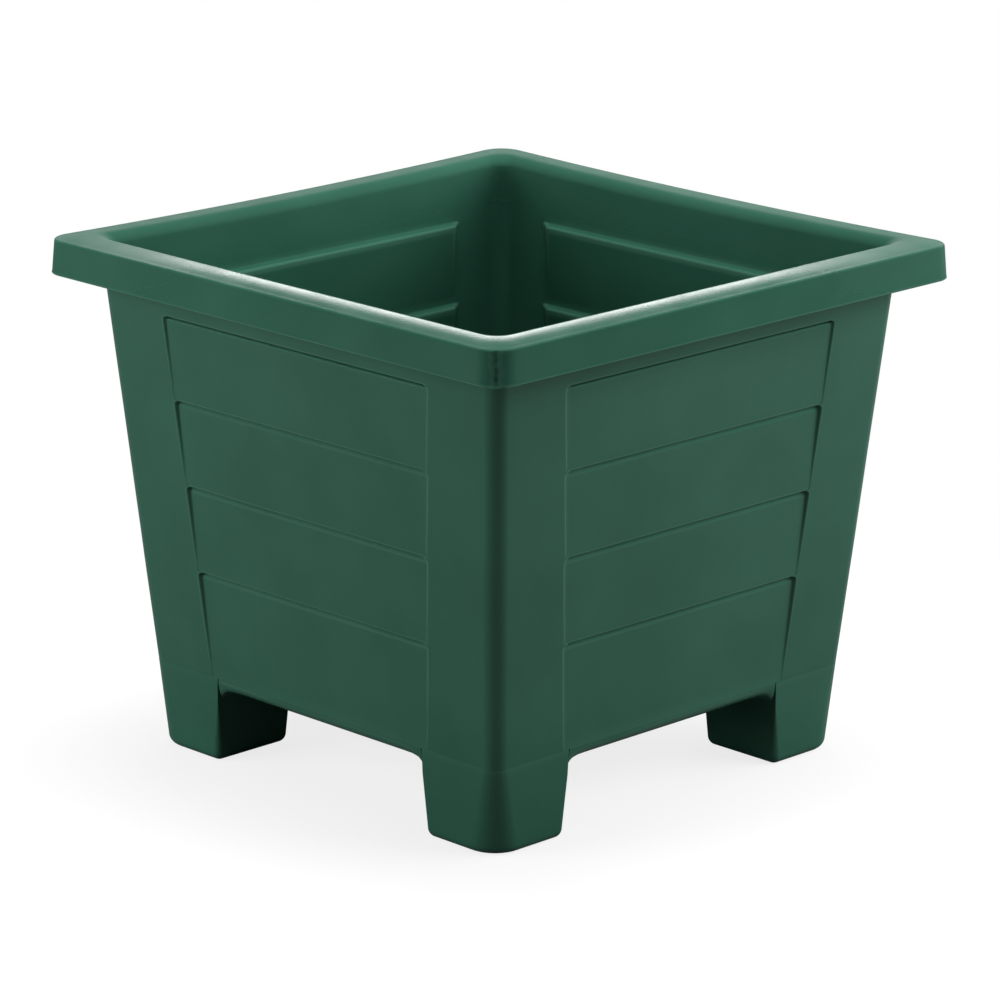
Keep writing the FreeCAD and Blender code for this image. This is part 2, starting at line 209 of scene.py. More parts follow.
def wall_ring(level, depth=0.0, panel_level=None, tuck=0.0):
    face = post_face(level)
    edge = face - POST_WIDTH - tuck
    softness = EDGE_SOFTNESS + FADE_RATE * max(0.0, level - FADE_LEVEL)
    return ring(level, face, POST_CORNER, edge, softness, depth, panel_level, waviness=1.0)


# The upper corners of each sunk plank are rounded: how far the panel's end is drawn in there
TUCK_FADE = 1.2


def corner_tuck(below_head):
    if below_head <= 0:
        return PLANK_CORNER * (1 - eased(-below_head / TUCK_FADE))
    if below_head >= PLANK_CORNER:
        return 0.0
    return PLANK_CORNER - math.sqrt(PLANK_CORNER ** 2 - (PLANK_CORNER - below_head) ** 2)


# Round a plank's head: shifts in height of post and panel, share of the step, and depth of the groove.
# Three heads roll softly into the groove, and the top one meets it with a tight edge.
LAP_FOOT = [(0.45, 0.25, 0.8, 0.06), (0.8, 0.6, 0.93, 0.0), (1.2, 1.05, 0.985, 0.0), (1.8, 1.7, 1.0, 0.0)]
SOFT_LAP = [(-4.4, -4.4, 0.0, 0.0), (-3.4, -3.4, 0.0, 0.07), (-2.6, -2.6, 0.0, 0.24),
            (-1.9, -1.9, 0.0, 0.5), (-1.3, -1.25, 0.0, 0.82), (-0.85, -0.8, 0.0, 1.05),
            (-0.5, -0.45, 0.04, 1.1), (-0.2, -0.2, 0.14, 0.9), (0.0, -0.05, 0.36, 0.5),
            (0.2, 0.05, 0.6, 0.2)] + LAP_FOOT
TIGHT_LAP = [(-4.4, -4.4, 0.0, 0.0), (-2.6, -2.6, 0.0, 0.0), (-2.0, -2.0, 0.0, 0.06),
             (-1.6, -1.6, 0.0, 0.35), (-1.4, -1.35, 0.0, 0.9), (-1.2, -1.1, 0.0, 1.4),
             (-0.8, -0.7, 0.04, 1.6), (-0.3, -0.25, 0.14, 1.3), (0.0, -0.05, 0.36, 0.8),
             (0.2, 0.05, 0.6, 0.3)] + LAP_FOOT
FACE_ROWS = 10
tub_rings = [wall_ring(SEAM), wall_ring(SEAM + 0.4, 0.1, SEAM + 0.3), wall_ring(SEAM + 0.9, PLANK_SINK)]
for order, step in enumerate(PLANK_STEPS):
    foot = PLANK_LEVELS[order]
    head = PLANK_LEVELS[order + 1]
    top_plank = order + 1 == len(PLANK_STEPS)
    above = 0.0 if top_plank else PLANK_SINK
    lap = TIGHT_LAP if top_plank else SOFT_LAP
    lowest = foot + lap[-1][0]
    highest = head + lap[0][0]
    for row in range(1, FACE_ROWS + 1):
        level = lowest + (highest - lowest) * row / (FACE_ROWS + 1)
        depth = PLANK_SINK + (step - PLANK_SINK) * (level - foot) / (head - foot)
        tub_rings.append(wall_ring(level, depth))
    for post_shift, panel_shift, share, groove in lap:
        up_plank = min(1.0, (head + panel_shift - foot) / (head - foot))
        depth = PLANK_SINK + (step - PLANK_SINK) * up_plank
        depth += (above - depth) * share + groove
        tuck = corner_tuck(-panel_shift)
        tub_rings.append(wall_ring(head + post_shift, depth, head + panel_shift, tuck))

# Tub: the rim. The wall runs up into a crowned land with a small radius at its outer edge and a wide
# one at the mouth, and a skirt hangs down outside. The mould parts at two corners of the skirt, where
# a shallow nick and a little flash are left.
RIM_HALF = 190.0
RIM_EDGE_HALF = 188.75
RIM_EDGE = 310.2
RIM_TOP = 312.0
RIM_CORNER = 16.0
RIM_ROUND = 1.2
ROUND_MIDDLE = 309.12
PLATE_UNDER = 306.7
CORNER_SPREAD = 0.16
MOUTH_HALF = 163.8
MOUTH_CORNER = 12.0
MOUTH_ROUND = 7.5
NICK = 2.1
NICK_START = 189.0
FLASH = 1.5
MIDDLE_SHARE = 0.67
MIDDLE_SOFTNESS = 6.0
BAND_LEVELS = (276.0, 279.5, 283.5, 287.5, 292.0, 297.0, 302.0, 305.0)
SKIRT_ROWS = 18
SKIRT_LOW = 291.2
SKIRT_HIGH = 308.2
EDGE_ANGLES = range(3, 82, 6)
LAND_SHARES = (0.06, 0.15, 0.25, 0.36, 0.48, 0.6, 0.72, 0.84, 0.94)
MOUTH_ANGLES = range(1, 86, 4)


def rim_ring(half, level, corner, nick=0.0, flash=0.0):
    return ring(level, half, corner, half * MIDDLE_SHARE, MIDDLE_SOFTNESS, nick=nick, flash=flash)


for level in BAND_LEVELS:
    tub_rings.append(wall_ring(level))

# Half widths and levels: under the plate of the rim, then down inside the skirt and round its hem. The
# third value there is the share of the flash.
root = post_face(PLATE_UNDER)
under_plate = [(root + 0.1, 306.0), (root + 0.6, 306.5), (root + 1.6, PLATE_UNDER),
               (174.0, PLATE_UNDER), (179.0, PLATE_UNDER), (183.0, PLATE_UNDER),
               (184.8, 306.55), (185.5, 306.0), (185.8, 305.0)]
for half, level in under_plate:
    tub_rings.append(rim_ring(half, level, POST_CORNER + (half - root) * CORNER_SPREAD))
skirt_hem = [(186.1, 301.5, 0.0), (186.5, 296.5, 0.0), (186.9, 291.5, 0.0), (187.0, 290.4, 0.0),
             (187.2, 289.85, 0.4), (187.7, 289.5, 0.8), (188.4, 289.45, 1.0), (189.1, 289.45, 1.0),
             (189.7, 289.6, 1.0), (190.05, 289.9, 0.7), (190.12, 290.25, 0.3), (190.0, 290.7, 0.0)]
for half, level, rough in skirt_hem:
    nick = NICK if half > NICK_START else 0.0
    tub_rings.append(rim_ring(half, level, RIM_CORNER + half - RIM_HALF, nick, FLASH * rough))
for row in range(SKIRT_ROWS):
    level = SKIRT_LOW + (SKIRT_HIGH - SKIRT_LOW) * row / (SKIRT_ROWS - 1)
    up_skirt = (level - SKIRT_BOTTOM) / (RIM_EDGE - SKIRT_BOTTOM)
    half = RIM_HALF - (RIM_HALF - RIM_EDGE_HALF) * up_skirt
    tub_rings.append(rim_ring(half, level, RIM_CORNER, NICK))
land_outer = RIM_EDGE_HALF - RIM_ROUND
land_inner = MOUTH_HALF + MOUTH_ROUND
for angle in EDGE_ANGLES:
    turn = math.radians(angle)
    half = land_outer + RIM_ROUND * math.cos(turn)
    level = ROUND_MIDDLE + RIM_ROUND * math.sin(turn)
    tub_rings.append(rim_ring(half, level, RIM_CORNER, NICK * math.cos(turn)))
for share in LAND_SHARES:
    half = land_outer + (land_inner - land_outer) * share
    drop = (RIM_TOP - RIM_EDGE) * (1 - share) ** 2
    tub_rings.append(rim_ring(half, RIM_TOP - drop, RIM_CORNER + (MOUTH_CORNER - RIM_CORNER) * share))
for angle in MOUTH_ANGLES:
    turn = math.radians(angle)
    half = land_inner - MOUTH_ROUND * math.sin(turn)
    tub_rings.append(rim_ring(half, RIM_TOP - MOUTH_ROUND * (1 - math.cos(turn)), MOUTH_CORNER))

# Tub: the inside of the walls. The same moulding seen from within: the back of each plank stands out as
# a bulge with a rounded ledge on top, and runs on a little behind the posts.
WALL = 4.0
INNER_CORNER = 7.0
BULGE_REACH = 11.0
BULGE_SOFTNESS = 4.5
LEDGE_RISE = 2.0
LEDGE_STEP = 4.5
PAD_TOP = 56.2
PAD_ROUND = 1.0
PAD_WALL = 3.2
PAD_EDGE = NOTCH - PAD_WALL
WALL_START = PAD_TOP + 0.6
INNER_BAND_LEVELS = (302.0, 297.0, 291.0, 285.0, 280.0)


def inner_ring(level, depth=0.0, panel_level=None, well=None, pull=1.0):
    face = post_face(level)
    corner = INNER_CORNER + (MOUTH_CORNER - INNER_CORNER) * (level - PAD_TOP) / (RIM_TOP - PAD_TOP)
    edge = face - POST_WIDTH + BULGE_REACH - PANEL_DRAFT * WALL
    return ring(level, face - WALL, corner, edge, BULGE_SOFTNESS, depth, panel_level, well, pull, 1.0)


# Over a ledge: shifts in height of post and panel, and share of the step
LEDGE = [(1.5, 1.5, 0.0), (1.0, 1.0, 0.03), (0.65, 0.6, 0.1), (0.4, 0.35, 0.22),
         (0.15, 0.15, 0.36), (-0.05, -0.05, 0.52), (-0.3, -0.3, 0.67), (-0.6, -0.6, 0.81),
         (-1.0, -1.0, 0.92), (-1.5, -1.5, 0.98), (-2.1, -2.1, 1.0)]
for level in INNER_BAND_LEVELS:
    tub_rings.append(inner_ring(level))
for order in reversed(range(len(PLANK_STEPS))):
    ledge = PLANK_LEVELS[order + 1] + LEDGE_RISE
    below = PLANK_LEVELS[order] + LEDGE_RISE
    above = PLANK_SINK if order + 1 < len(PLANK_STEPS) else 0.0
    for post_shift, panel_shift, share in LEDGE:
        depth = above + (LEDGE_STEP - above) * share
        tub_rings.append(inner_ring(ledge + post_shift, depth, ledge + panel_shift))
    highest = ledge + LEDGE[-1][0]
    lowest = below + LEDGE[0][0] if order else WALL_START
    well = None if order else PAD_EDGE + PAD_ROUND
    for row in range(1, FACE_ROWS + 1):
        share = row / (FACE_ROWS + 1)
        level = highest + (lowest - highest) * share
        depth = PLANK_SINK + (LEDGE_STEP - PLANK_SINK) * (level - below) / (ledge - below)
        tub_rings.append(inner_ring(level, depth, well=well, pull=eased(share)))
tub_rings.append(inner_ring(PAD_TOP, PLANK_SINK, well=PAD_EDGE + PAD_ROUND))

tub_mesh = bmesh.new()


def add_points(mesh, points):
    return [mesh.verts.new(point * MM) for point in points]


def add_strip(mesh, lower, upper):
    for a, b, c, d in zip(lower, lower[1:], upper[1:], upper):
        mesh.faces.new((a, b, c, d))


def add_tube(mesh, loops):
    for lower, upper in zip(loops, loops[1:]):
        add_strip(mesh, lower + lower[:1], upper + upper[:1])


levels_round = [add_points(tub_mesh, points) for points in tub_rings]
add_tube(tub_mesh, levels_round)
seam_loop = levels_round[0]
pad_loop = levels_round[-1]

# Tub: the floor. It hangs a little below the seam of the feet with a rounded hem, which swells into a
# collar against each foot, and rises at each corner to a pad with a socket hole over the foot.
FLOOR_UNDER = 44.8
FLOOR_TOP = 48.0
FLOOR_ROUND = 8.0
COLLAR_ROUND = 2.5
COLLAR_FADE = 14.0
FOOT_DRAFT = 1.5
HEM_STEPS = 8
SOCKET_PLACE = post_face(SEAM) - FOOT_WIDTH / 2
SOCKET_RADIUS = 11.2
DRAIN_INSET = 21.5
DRAIN_PLACE = PAD_EDGE - DRAIN_INSET
DRAIN_RADIUS = 8.0
HOLE_STEPS = 40


def side_part(loop, side):
    return loop[side * AROUND + first_well:side * AROUND + last_well + 1]


def corner_part(loop, corner):
    start = (corner - 1) % SIDES * AROUND + last_well
    count = AROUND - last_well + first_well
    return [loop[(start + step) % len(loop)] for step in range(count + 1)]


def hole_loop(place, radius, level, corner):
    x, y = CORNERS[corner]
    points = []
    for step in range(HOLE_STEPS):
        turn = 2 * math.pi * step / HOLE_STEPS
        across = x * place + radius * math.cos(turn)
        back = y * place + radius * math.sin(turn)
        points.append(Vector((across, back, level)))
    return add_points(tub_mesh, points)


def fill(outline, holes):
    edges = []
    for loop in [outline] + holes:
        for a, b in zip(loop, loop[1:] + loop[:1]):
            edges.append(tub_mesh.edges.get((a, b)) or tub_mesh.edges.new((a, b)))
    bmesh.ops.triangle_fill(tub_mesh, use_beauty=True, use_dissolve=False, edges=edges)


def collar_level(from_notch):
    reach = COLLAR_PLACES[-1]
    if from_notch >= reach:
        return FLOOR_UNDER
    return FLOOR_UNDER - reach + math.sqrt(max(0.0, reach ** 2 - (reach - from_notch) ** 2))


# The collar's end stands against the foot's side, which leans with its draft
def notch_at(level):
    return NOTCH + FOOT_DRAFT * (1 - level / SEAM)


hem_rows = []
for side in range(SIDES):
    rows = [side_part(seam_loop, side)]
    for step in range(1, HEM_STEPS + 1):
        turn = math.radians(90 * step / HEM_STEPS)
        points = []
        for vert in rows[0]:
            along = vert.co.dot(turned(side, 1, 0, 0)) / MM
            from_notch = NOTCH - abs(along)
            level = SEAM - (SEAM - collar_level(from_notch)) * math.sin(turn)
            bend = COLLAR_ROUND + (FLOOR_ROUND - COLLAR_ROUND) * eased(from_notch / COLLAR_FADE)
            out = post_face(level) - bend * (1 - math.cos(turn))
            if from_notch < COLLAR_PLACES[1] / 2:
                along = math.copysign(notch_at(level), along)
            points.append(turned(side, along, out, level))
        rows.append(add_points(tub_mesh, points))
        add_strip(tub_mesh, rows[-1], rows[-2])
    hem_rows.append(rows)
collar_last = len(COLLAR_PLACES) - 1
notch_tops = []
floor_corners = []
for corner, (x, y) in enumerate(CORNERS):
    right = hem_rows[(corner - 1) % SIDES]
    left = hem_rows[corner]
    lines = []
    for order, place in enumerate(COLLAR_PLACES):
        inside = NOTCH - place if order else notch_at(collar_level(0.0))
        middle = add_points(tub_mesh, [Vector((x * inside, y * inside, collar_level(place)))])
        lines.append([right[-1][-1 - order]] + middle + [left[-1][order]])
    for lower, upper in zip(lines, lines[1:]):
        add_strip(tub_mesh, lower, upper)
    high = add_points(tub_mesh, [Vector((x * NOTCH, y * NOTCH, SEAM))])[0]
    tub_mesh.faces.new([row[-1] for row in right] + [lines[0][1], high])
    tub_mesh.faces.new([row[0] for row in reversed(left)] + [high, lines[0][1]])
    notch_tops.append(high)
    floor_corners.append(lines[-1][1])
under_outline = []
for side in range(SIDES):
    under_outline += [floor_corners[side]] + hem_rows[side][-1][collar_last:-collar_last]
drains_under = [hole_loop(DRAIN_PLACE, DRAIN_RADIUS, FLOOR_UNDER, corner) for corner in range(SIDES)]
fill(under_outline, drains_under)

# The pads with their rounded edges and sockets, and the floor between them with its drain holes. Each
# row down a pad's side has a level and how far it widens.
WELL_ROWS = [(PAD_TOP - 0.3, PAD_ROUND * 0.3), (PAD_TOP - 1.0, 0.0),
             (FLOOR_TOP + 3.5, 0.0), (FLOOR_TOP, 0.0)]
well_rows = []
for side in range(SIDES):
    rows = [side_part(pad_loop, side)]
    for level, widening in WELL_ROWS:
        points = inner_ring(level, PLANK_SINK, well=PAD_EDGE + widening)
        rows.append(add_points(tub_mesh, side_part(points, side)))
        add_strip(tub_mesh, rows[-2], rows[-1])
    well_rows.append(rows)
floor_outline = []
drains_above = []
for corner, (x, y) in enumerate(CORNERS):
    places = [(PAD_TOP, PAD_ROUND)] + WELL_ROWS
    stack = [Vector((x * (PAD_EDGE + out), y * (PAD_EDGE + out), level)) for level, out in places]
    stack = add_points(tub_mesh, stack)
    right = well_rows[(corner - 1) % SIDES]
    left = well_rows[corner]
    for row in range(len(places) - 1):
        upper = [right[row][-1], stack[row], left[row][0]]
        lower = [right[row + 1][-1], stack[row + 1], left[row + 1][0]]
        add_strip(tub_mesh, upper, lower)
    socket_high = hole_loop(SOCKET_PLACE, SOCKET_RADIUS, PAD_TOP, corner)
    socket_low = hole_loop(SOCKET_PLACE, SOCKET_RADIUS, SEAM, corner)
    add_tube(tub_mesh, [socket_high, socket_low])
    fill(corner_part(pad_loop, corner) + [stack[0]], [socket_high])
    fill(corner_part(seam_loop, corner) + [notch_tops[corner]], [socket_low])
    drains_above.append(hole_loop(DRAIN_PLACE, DRAIN_RADIUS, FLOOR_TOP, corner))
    add_tube(tub_mesh, [drains_above[corner], drains_under[corner]])
    floor_outline += [stack[-1]] + left[-1]
fill(floor_outline, drains_above)

# How sharply the surface turns at each point: outwards for a painted highlight along convex edges, and
# inwards for painted shade in creases. The closed joint between tub and foot takes neither.
JOINT_SHELTER = 0.6
EDGE_LIGHT_TURN = math.radians(22)
CREASE_START = math.radians(25)
CREASE_RANGE = math.radians(40)
CREASE_LIMIT = math.radians(60)
SHARP_TURN = math.radians(40)


def mark_edges(mesh):
    edge_light_layer = mesh.verts.layers.float.new("painted_edge_light")
    crease_shade_layer = mesh.verts.layers.float.new("painted_crease_shade")
    for vert in mesh.verts:
        if abs(vert.co.z / MM - SEAM) < JOINT_SHELTER:
            continue
        turns = [edge.calc_face_angle_signed(0.0) for edge in vert.link_edges if edge.is_manifold]
        outwards = max(turns, default=0.0)
        inwards = -min(turns, default=0.0)
        vert[edge_light_layer] = min(1.0, max(0.0, outwards / EDGE_LIGHT_TURN))
        if outwards < CREASE_LIMIT:
            vert[crease_shade_layer] = min(1.0, max(0.0, (inwards - CREASE_START) / CREASE_RANGE))


def new_piece(name, mesh, turn=0.0):
    bmesh.ops.recalc_face_normals(mesh, faces=mesh.faces[:])
    mark_edges(mesh)
    data = bpy.data.meshes.new(name)
    mesh.to_mesh(data)
    mesh.free()
    data.transform(Matrix.Rotation(turn, 4, "Z"))
    data.shade_smooth()
    data.set_sharp_from_angle(angle=SHARP_TURN)
    piece = bpy.data.objects.new(name, data)
    bpy.context.scene.collection.objects.link(piece)
    return piece


tub = new_piece("planter_tub", tub_mesh)
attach(tub, "planter")
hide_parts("tub")

# What moulded plastic and rubber share: a fine grain in the skin, and slow clouds in colour and sheen
PLASTIC_GRAIN = 700.0
CLOUD_SCALE = 16.0
SHEEN_SCALE = 55.0


def new_group(name, inputs, outputs):
    group = bpy.data.node_groups.new(name, "ShaderNodeTree")
    for label, value in inputs:
        socket = group.interface.new_socket(label, in_out="INPUT", socket_type="NodeSocketFloat")
        socket.default_value = value
    for label in outputs:
        group.interface.new_socket(label, in_out="OUTPUT", socket_type="NodeSocketFloat")
    source = group.nodes.new("NodeGroupInput")
    result = group.nodes.new("NodeGroupOutput")
    return group, source, result


def add_noise(tree, vector, scale, detail):
    texture = tree.nodes.new("ShaderNodeTexNoise")
    texture.inputs["Scale"].default_value = scale
    texture.inputs["Detail"].default_value = detail
    tree.links.new(vector, texture.inputs["Vector"])
    return texture


def add_range(tree, value, low=0.0, high=1.0, to_low=0.0, to_high=1.0, smooth=False):
    node = tree.nodes.new("ShaderNodeMapRange")
    node.inputs["From Min"].default_value = low
    node.inputs["From Max"].default_value = high
    node.inputs["To Min"].default_value = to_low
    node.inputs["To Max"].default_value = to_high
    if smooth:
        node.interpolation_type = "SMOOTHSTEP"
    tree.links.new(value, node.inputs["Value"])
    return node.outputs["Result"]


def add_math(tree, operation, first, second):
    node = tree.nodes.new("ShaderNodeMath")
    node.operation = operation
    for socket, value in zip(node.inputs, (first, second)):
        if isinstance(value, float):
            socket.default_value = value
        else:
            tree.links.new(value, socket)
    return node.outputs[0]


skin_inputs = [("Grain Scale", PLASTIC_GRAIN)]
skin, source, result = new_group("moulded_skin", skin_inputs, ["Grain", "Cloud", "Sheen"])
place = skin.nodes.new("ShaderNodeTexCoord").outputs["Object"]
grain = add_noise(skin, place, scale=PLASTIC_GRAIN, detail=3.0)
skin.links.new(source.outputs["Grain Scale"], grain.inputs["Scale"])
skin.links.new(grain.outputs["Fac"], result.inputs["Grain"])
cloud = add_noise(skin, place, scale=CLOUD_SCALE, detail=4.0)
skin.links.new(add_range(skin, cloud.outputs["Fac"], low=0.3, high=0.7), result.inputs["Cloud"])
sheen = add_noise(skin, place, scale=SHEEN_SCALE, detail=3.0)
skin.links.new(add_range(skin, sheen.outputs["Fac"], low=0.3, high=0.7), result.inputs["Sheen"])

# Handling leaves short faint rubs that run this way and that
RUB_TURNS = (0.5, -0.9)
RUB_STRETCH = (30.0, 30.0, 900.0)
RUB_PATCHES = 9.0
TUB_SPREAD = 0.6
rubs, source, result = new_group("handling_rubs", [("Spread", TUB_SPREAD)], ["Rubs"])
place = rubs.nodes.new("ShaderNodeTexCoord").outputs["Object"]
streaks = []
for turn in RUB_TURNS:
    lie = rubs.nodes.new("ShaderNodeMapping")
    lie.inputs["Rotation"].default_value = (turn, turn, turn)
    lie.inputs["Scale"].default_value = RUB_STRETCH
    rubs.links.new(place, lie.inputs["Vector"])
    streak = add_noise(rubs, lie.outputs["Vector"], scale=1.0, detail=2.0)
    streaks.append(add_range(rubs, streak.outputs["Fac"], low=0.66, high=0.76))
either = add_math(rubs, "MAXIMUM", streaks[0], streaks[1])
patch = add_noise(rubs, place, scale=RUB_PATCHES, detail=3.0)
here = add_range(rubs, patch.outputs["Fac"], high=0.75)
rubs.links.new(source.outputs["Spread"], here.node.inputs["From Min"])
rubs.links.new(add_math(rubs, "MULTIPLY", either, here), result.inputs["Rubs"])


def add_group(tree, group):
    node = tree.nodes.new("ShaderNodeGroup")
    node.node_tree = group
    return node


def add_mix(tree, share, first, second):
    node = tree.nodes.new("ShaderNodeMix")
    node.data_type = "RGBA"
    tree.links.new(share, node.inputs["Factor"])
    for socket, value in ((node.inputs["A"], first), (node.inputs["B"], second)):
        if isinstance(value, tuple):
            socket.default_value = value
        else:
            tree.links.new(value, socket)
    return node.outputs["Result"]


def add_bump(tree, height, shader, strength, distance):
    bump = tree.nodes.new("ShaderNodeBump")
    bump.inputs["Strength"].default_value = strength
    bump.inputs["Distance"].default_value = distance
    tree.links.new(height, bump.inputs["Height"])
    tree.links.new(bump.outputs["Normal"], shader.inputs["Normal"])


# Satin green, paler where it is rubbed, with a painted highlight along convex edges and painted shade in
# creases. On the tub, the two sides of the rim away from the lens have weathered dull.
GREEN_DEEP = (0.022, 0.0875, 0.0575, 1)
GREEN_PALE = (0.027, 0.102, 0.0685, 1)
GREEN_RUBBED_AND_EDGE_LIT = (0.045, 0.135, 0.095, 1)
GREEN_CREASE_SHADE = (0.006, 0.022, 0.0155, 1)
GREEN_SPECULAR = 0.3
RUB_STRENGTH = 0.5
CREASE_SHADE_STRENGTH = 0.9
WEAR_POLISH = 0.05
WEATHERED_ROUGHNESS = 0.4


def green_plastic(name, spread, weathered=False):
    material = bpy.data.materials.new(name)
    material.use_nodes = True
    tree = material.node_tree
    shader = tree.nodes["Principled BSDF"]
    shader.inputs["Specular IOR Level"].default_value = GREEN_SPECULAR
    surface = add_group(tree, skin)
    marks = add_group(tree, rubs)
    marks.inputs["Spread"].default_value = spread
    # Painted highlight: the green turns paler along convex edges, as if lit there; the real rubs share
    # this paler colour
    edge_light_attribute = tree.nodes.new("ShaderNodeAttribute")
    edge_light_attribute.attribute_name = "painted_edge_light"
    edge_light_share = add_range(tree, edge_light_attribute.outputs["Fac"], low=0.22, high=0.5, to_high=0.7)
    rub_wear = add_math(tree, "MULTIPLY", marks.outputs["Rubs"], RUB_STRENGTH)
    rubs_and_edge_light = add_math(tree, "MAXIMUM", edge_light_share, rub_wear)
    colour = add_mix(tree, surface.outputs["Cloud"], GREEN_DEEP, GREEN_PALE)
    # Painted shade: the green turns darker in concave creases
    crease = tree.nodes.new("ShaderNodeAttribute")
    crease.attribute_name = "painted_crease_shade"
    crease_shade = add_range(tree, crease.outputs["Fac"], to_high=CREASE_SHADE_STRENGTH)
    colour = add_mix(tree, crease_shade, add_mix(tree, rubs_and_edge_light, colour, GREEN_RUBBED_AND_EDGE_LIT), GREEN_CREASE_SHADE)
    tree.links.new(colour, shader.inputs["Base Color"])
    polish = add_range(tree, surface.outputs["Sheen"], to_low=0.17, to_high=0.23)
    roughness = add_math(tree, "SUBTRACT", polish, add_math(tree, "MULTIPLY", rubs_and_edge_light, WEAR_POLISH))
    if weathered:
        place = tree.nodes.new("ShaderNodeSeparateXYZ")
        tree.links.new(tree.nodes.new("ShaderNodeTexCoord").outputs["Object"], place.inputs[0])
        across = add_math(tree, "ADD", place.outputs["X"], place.outputs["Y"])
        farther = add_range(tree, across, low=-0.17, high=0.05, to_high=WEATHERED_ROUGHNESS, smooth=True)
        higher = add_range(tree, place.outputs["Z"], low=0.275, high=0.308, smooth=True)
        roughness = add_math(tree, "ADD", roughness, add_math(tree, "MULTIPLY", farther, higher))
    tree.links.new(roughness, shader.inputs["Roughness"])
    add_bump(tree, surface.outputs["Grain"], shader, strength=0.12, distance=0.0004)
    return material


tub.data.materials.append(green_plastic("green_tub_plastic", TUB_SPREAD, True))

# Feet: hollow cups of the same plastic, closed at the sole, each with a split spigot that snaps up
# through the socket in its corner pad. Their outer sides stand almost upright, the inner ones have
# draft, and their edges grow rounder downwards.
CORNER_NAMES = ("front_left", "front_right", "rear_right", "rear_left")
FOOT_INNER = post_face(SEAM) - FOOT_WIDTH
FOOT_WALL = 3.0
FOOT_LEAN = 1.4
FOOT_EDGE = 0.3
FOOT_LEVELS = (52.6, 49.0, 44.0, 38.0, 31.0, 24.0, 17.0, 11.0, 7.0)
FOOT_ARC_STEPS = 20
FOOT_SPREAD = 0.5
SOLE_EDGE = 5.5
SOLE_CORNER = 20.0
SOLE_ROUND = 5.0
SOLE_ANGLES = range(0, 91, 5)
SEAM_CHAMFER = 0.15
SPIGOT_RADIUS = 11.0
SPIGOT_BORE = 8.5
SPIGOT_SLOT = 1.25
SPIGOT_STEPS = 10
SPIGOT_LEVELS = [(51.7, SPIGOT_RADIUS), (56.2, SPIGOT_RADIUS), (56.3, 12.0), (56.5, 12.2),
                 (60.2, 10.8), (60.7, 10.3)]


def foot_loop(mesh, level, inset=0.0, wall=0.0):
    down = 1 - level / SEAM
    low = FOOT_LEAN * down - post_face(SEAM) + inset + wall
    high = -(FOOT_INNER + FOOT_DRAFT * down) - inset - wall
    edge = FOOT_EDGE + (SOLE_EDGE - FOOT_EDGE) * max(0.0, 1 - level / collar_level(0.0)) - inset
    corner = POST_CORNER + (SOLE_CORNER - POST_CORNER) * down - inset
    if wall:
        edge = wall
        corner -= wall
    points = []
    for quarter, (x, y) in enumerate(CORNERS):
        radius = corner if quarter == 0 else edge
        middle_x = low + radius if x < 0 else high - radius
        middle_y = low + radius if y < 0 else high - radius
        for step in range(FOOT_ARC_STEPS + 1):
            turn = math.radians(180 + 90 * (quarter + step / FOOT_ARC_STEPS))
            across = middle_x + radius * math.cos(turn)
            back = middle_y + radius * math.sin(turn)
            points.append(Vector((across, back, level)))
    return add_points(mesh, points)


def spigot_arc(mesh, radius, level, quarter):
    start = quarter * math.pi / 2 + math.asin(SPIGOT_SLOT / radius)
    sweep = math.pi / 2 - 2 * math.asin(SPIGOT_SLOT / radius)
    points = []
    for step in range(SPIGOT_STEPS + 1):
        turn = start + sweep * step / SPIGOT_STEPS
        across = radius * math.cos(turn) - SOCKET_PLACE
        back = radius * math.sin(turn) - SOCKET_PLACE
        points.append(Vector((across, back, level)))
    return add_points(mesh, points)


def foot_mesh():
    mesh = bmesh.new()
    loops = [foot_loop(mesh, FOOT_WALL, wall=FOOT_WALL), foot_loop(mesh, SEAM, wall=FOOT_WALL)]
    mesh.faces.new(loops[0])
    loops.append(foot_loop(mesh, SEAM, SEAM_CHAMFER))
    loops += [foot_loop(mesh, level) for level in FOOT_LEVELS]
    for angle in SOLE_ANGLES:
        turn = math.radians(angle)
        level = SOLE_ROUND * (1 - math.sin(turn))
        loops.append(foot_loop(mesh, level, SOLE_ROUND * (1 - math.cos(turn))))
    mesh.faces.new(loops[-1])
    add_tube(mesh, loops)
    for quarter in range(SIDES):
        prongs = []
        for level, radius in [(FOOT_WALL, SPIGOT_RADIUS)] + SPIGOT_LEVELS:
            outer = spigot_arc(mesh, radius, level, quarter)
            inner = spigot_arc(mesh, SPIGOT_BORE, level, quarter)
            prongs.append(outer + inner[::-1])
        add_tube(mesh, prongs)
        for loop in (prongs[0], prongs[-1]):
            half = len(loop) // 2
            add_strip(mesh, loop[:half], loop[half:][::-1])
    return mesh


foot_plastic = green_plastic("green_foot_plastic", FOOT_SPREAD)
for quarter, corner in enumerate(CORNER_NAMES):
    foot = new_piece("planter_foot_" + corner, foot_mesh(), quarter * math.pi / 2)
    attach(foot, "planter")
    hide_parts("foot_" + corner)
    foot.data.materials.append(foot_plastic)

# Drain plugs: bungs of soft black rubber pushed into the drain holes, with a bar to pull them by. The
# moulded solids are shown as they are.
RUBBER_DARK = (0.013, 0.014, 0.0135, 1)
RUBBER_PALE = (0.022, 0.023, 0.022, 1)
RUBBER_GRAIN = 1500.0
rubber = bpy.data.materials.new("black_rubber")
rubber.use_nodes = True
tree = rubber.node_tree
shader = tree.nodes["Principled BSDF"]
surface = add_group(tree, skin)
surface.inputs["Grain Scale"].default_value = RUBBER_GRAIN
colour = add_mix(tree, surface.outputs["Cloud"], RUBBER_DARK, RUBBER_PALE)
tree.links.new(colour, shader.inputs["Base Color"])
roughness = add_range(tree, surface.outputs["Sheen"], to_low=0.55, to_high=0.7)
tree.links.new(roughness, shader.inputs["Roughness"])
add_bump(tree, surface.outputs["Grain"], shader, strength=0.2, distance=0.0003)
for corner in CORNER_NAMES:
    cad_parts["drain_plug_" + corner].data.materials[0] = rubber

